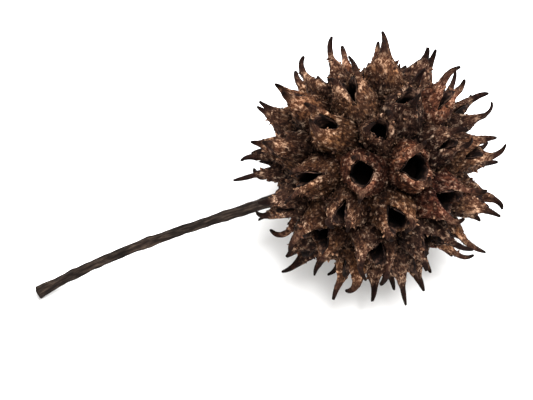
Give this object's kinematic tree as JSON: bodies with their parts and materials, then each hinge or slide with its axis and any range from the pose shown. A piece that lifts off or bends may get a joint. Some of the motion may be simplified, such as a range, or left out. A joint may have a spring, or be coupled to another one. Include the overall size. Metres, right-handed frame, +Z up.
{
  "type": "sweetgum seed ball",
  "caption": "Round woody seed head of fused capsules, each an open mouth between a pair of curved beaks, on a slim stalk that trails along the surface.",
  "frame": {"origin": "on the surface that it rests on, under the middle of the object's outline", "axes": "+Z up, +X from the stalk's far end towards the seed head"},
  "size_m": [0.0668, 0.0379, 0.0374],
  "materials": {
    "head_wood": "dry, matt, warty brown",
    "stalk_wood": "dry, dull, grey brown"
  },
  "bodies": {
    "root": {"seed_head": "head_wood", "stalk": "stalk_wood"}
  },
  "joints": []
}
